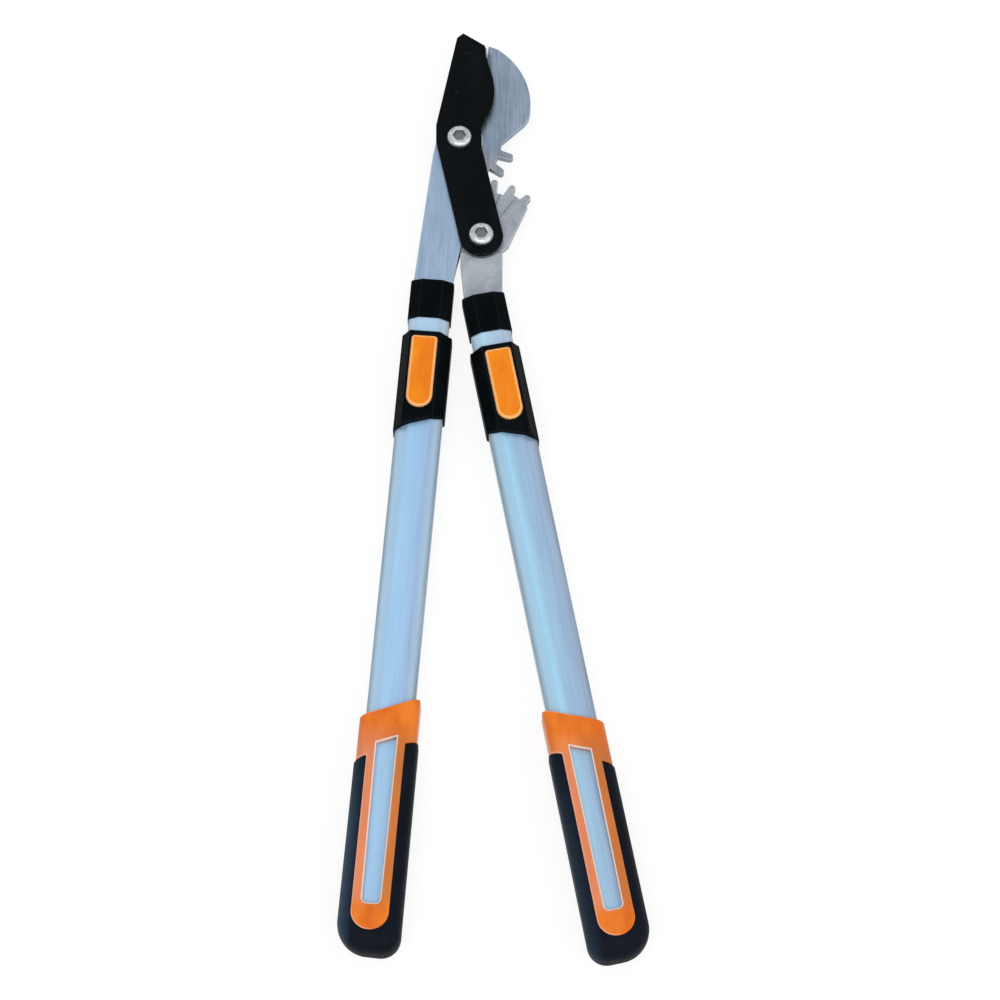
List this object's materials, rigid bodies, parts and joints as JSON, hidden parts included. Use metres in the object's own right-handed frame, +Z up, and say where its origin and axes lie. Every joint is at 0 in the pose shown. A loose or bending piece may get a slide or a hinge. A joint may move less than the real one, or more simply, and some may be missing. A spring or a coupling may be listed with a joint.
{
  "type": "ratchet lopper",
  "caption": "Telescopic anvil lopper: a toothed blade lever meshes with a toothed drive lever in a plate head; tube handles slide out and lock with thumb buttons.",
  "frame": {"origin": "end of the blade pivot's bolt, in the plane the lopper lies on", "axes": "+Y from the handles towards the jaw, +Z up out of the front face, +X towards the blade's back"},
  "size_m": [0.2006, 0.6847, 0.0313],
  "materials": {
    "black_paint": "black satin coating",
    "blade_steel": "lengthwise brushed",
    "anvil_steel": "milled",
    "bolt_steel": "bright plated",
    "dark_steel": "blackened",
    "bronze": "turned",
    "nylon": "moulded",
    "arm_alloy": "brushed",
    "cast_alloy": "as cast",
    "spring_steel": "drawn wire",
    "tube_alloy": "satin anodised, pale blue",
    "inner_alloy": "satin anodised",
    "black_plastic": "fine matt",
    "orange_plastic": "smooth moulded",
    "grip_rubber": "soft matt"
  },
  "bodies": {
    "frame": {"plate_front": "black_paint", "plate_rear": "black_paint", "anvil": "anvil_steel", "anvil_rivets": "dark_steel", "blade_bolt": "bolt_steel", "drive_bolt": "bolt_steel", "lock_nuts": "bolt_steel", "nut_washers": "bolt_steel", "blade_bush": "bronze", "thrust_washers": "nylon"},
    "left_lever": {"blade": "blade_steel", "left_arm": "arm_alloy", "blade_rivets": "arm_alloy", "left_inner_tube": "inner_alloy", "left_collar": "black_plastic", "left_arm_pin": "bolt_steel", "left_glide": "nylon"},
    "drive_pivot_bush": {"drive_bush": "bronze"},
    "right_lever": {"drive_lever": "cast_alloy", "ratchet_spring": "spring_steel", "right_inner_tube": "inner_alloy", "right_collar": "black_plastic", "right_arm_pin": "bolt_steel", "right_glide": "nylon"},
    "left_handle": {"left_outer_tube": "tube_alloy", "left_sleeve": "black_plastic", "left_sleeve_screw": "bolt_steel", "left_button_axle": "dark_steel", "left_button_spring": "spring_steel", "left_grip_core": "orange_plastic", "left_grip_cover": "grip_rubber"},
    "left_release": {"left_button": "orange_plastic", "left_lock_pin": "bolt_steel"},
    "right_handle": {"right_outer_tube": "tube_alloy", "right_sleeve": "black_plastic", "right_sleeve_screw": "bolt_steel", "right_button_axle": "dark_steel", "right_button_spring": "spring_steel", "right_grip_core": "orange_plastic", "right_grip_cover": "grip_rubber"},
    "right_release": {"right_button": "orange_plastic", "right_lock_pin": "bolt_steel"}
  },
  "joints": [
    {"name": "blade_pivot", "type": "hinge", "parent": "frame", "child": "left_lever", "pos_m": [0, 0, 0.015], "axis": [0, 0, -1], "range_deg": [0, 40]},
    {"name": "drive_pivot", "type": "hinge", "parent": "frame", "child": "drive_pivot_bush", "pos_m": [0.0155, -0.077, 0.015], "axis": [0, 0, 1], "range_deg": [0, 31.5]},
    {"name": "ratchet_float", "type": "slide", "parent": "drive_pivot_bush", "child": "right_lever", "axis": [0.1973, -0.9803, 0], "range_m": [0, 0.0105], "stiffness_N_per_m": 1500, "springref_m": -0.004, "deforming": ["ratchet_spring"]},
    {"name": "left_extension", "type": "slide", "parent": "left_lever", "child": "left_handle", "axis": [-0.0807, -0.9967, 0], "range_m": [0, 0.25]},
    {"name": "left_button_press", "type": "hinge", "parent": "left_handle", "child": "left_release", "pos_m": [-0.02383, -0.18499, 0.0284], "axis": [0.9967, -0.0807, 0], "range_deg": [0, 4], "stiffness_Nm_per_rad": 0.6, "springref_deg": -1.72, "deforming": ["left_button_spring"]},
    {"name": "right_extension", "type": "slide", "parent": "right_lever", "child": "right_handle", "axis": [0.1874, -0.9823, 0], "range_m": [0, 0.25]},
    {"name": "right_button_press", "type": "hinge", "parent": "right_handle", "child": "right_release", "pos_m": [0.03048, -0.19461, 0.0284], "axis": [0.9823, 0.1874, 0], "range_deg": [0, 4], "stiffness_Nm_per_rad": 0.6, "springref_deg": -1.72, "deforming": ["right_button_spring"]}
  ],
  "couplings": [
    {"joint": "drive_pivot", "follows": "blade_pivot", "ratio": 0.78511}
  ]
}
